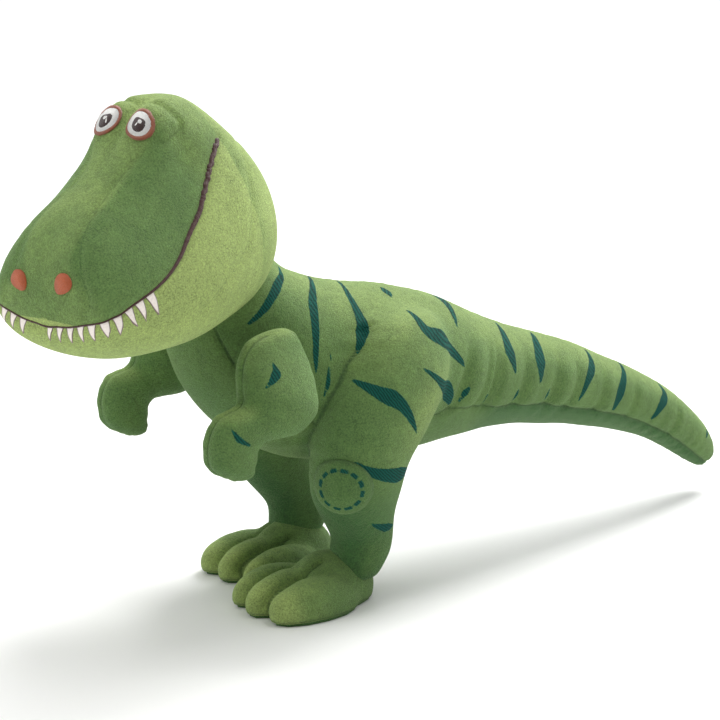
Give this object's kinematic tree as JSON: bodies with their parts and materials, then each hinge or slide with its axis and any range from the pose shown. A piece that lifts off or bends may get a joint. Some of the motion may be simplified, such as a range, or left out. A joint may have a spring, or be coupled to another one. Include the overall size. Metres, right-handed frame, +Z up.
{
  "type": "stuffed dinosaur",
  "caption": "Plush bipedal dinosaur with a big grinning head, short arms, a tapering striped tail and broad soft feet, sewn from velour over fibre filling.",
  "frame": {"origin": "On the floor under the middle of the bounding box", "axes": "The dinosaur looks along -Y and its tail points along +Y, its own left side is +X, and +Z is up; it stands on its two soles on Z = 0"},
  "size_m": [0.176, 0.6276, 0.3222],
  "materials": {
    "velour_green": "short-pile velour, soft sheen",
    "velour_light": "short-pile velour, yellow-green",
    "velour_dark": "short-pile velour, dark green",
    "felt_white": "matt pinkish-white felt",
    "thread_orange": "orange-brown satin-stitch embroidery",
    "thread_white": "white satin-stitch embroidery",
    "thread_dark": "dark brown satin-stitch embroidery and cord",
    "polyester_fibre": "white fluffy stuffing",
    "pellet_pouch": "small bag of plastic pellets"
  },
  "bodies": {
    "torso": {"torso_back_left": "velour_green", "torso_back_right": "velour_green", "leg_left_outer": "velour_green", "leg_left_inner": "velour_green", "leg_right_outer": "velour_green", "leg_right_inner": "velour_green", "torso_belly": "velour_light", "knee_patch_left": "velour_light", "knee_patch_right": "velour_light", "foot_left_upper": "velour_dark", "foot_right_upper": "velour_dark", "foot_left_sole": "velour_dark", "foot_right_sole": "velour_dark", "torso_filling": "polyester_fibre", "neck_filling": "polyester_fibre", "leg_left_filling": "polyester_fibre", "leg_right_filling": "polyester_fibre", "foot_left_pouch": "pellet_pouch", "foot_right_pouch": "pellet_pouch"},
    "head": {"snout_top": "velour_green", "brow_left": "velour_green", "brow_right": "velour_green", "head_crown": "velour_green", "cheek_left": "velour_green", "cheek_right": "velour_green", "jaw_left": "velour_light", "jaw_right": "velour_light", "head_filling": "polyester_fibre", "mouth_cord": "thread_dark", "teeth_left": "felt_white", "teeth_right": "felt_white", "eye_ring_left": "thread_orange", "eye_ring_right": "thread_orange", "eye_white_left": "thread_white", "eye_white_right": "thread_white", "pupil_left": "thread_dark", "pupil_right": "thread_dark", "nostril_left": "thread_orange", "nostril_right": "thread_orange"},
    "arm_left": {"arm_left_outer": "velour_green", "arm_left_inner": "velour_light", "arm_left_filling": "polyester_fibre"},
    "arm_right": {"arm_right_outer": "velour_green", "arm_right_inner": "velour_light", "arm_right_filling": "polyester_fibre"},
    "tail": {"tail_left": "velour_green", "tail_right": "velour_green", "tail_underside": "velour_light", "tail_filling": "polyester_fibre"}
  },
  "joints": [
    {"name": "head_turn", "type": "hinge", "parent": "torso", "child": "head", "pos_m": [0, -0.16708, 0.215], "axis": [0, 0, 1], "range_deg": [-30, 12], "stiffness_Nm_per_rad": 0.6},
    {"name": "arm_left_swing", "type": "hinge", "parent": "torso", "child": "arm_left", "pos_m": [0.05, -0.16108, 0.163], "axis": [1, 0, 0], "range_deg": [-30, 12], "stiffness_Nm_per_rad": 0.4},
    {"name": "arm_right_swing", "type": "hinge", "parent": "torso", "child": "arm_right", "pos_m": [-0.05, -0.14508, 0.163], "axis": [1, 0, 0], "range_deg": [-30, 12], "stiffness_Nm_per_rad": 0.4},
    {"name": "tail_sway", "type": "hinge", "parent": "torso", "child": "tail", "pos_m": [0, 0.10292, 0.115], "axis": [0, 0, 1], "range_deg": [-25, 25], "stiffness_Nm_per_rad": 0.8}
  ]
}
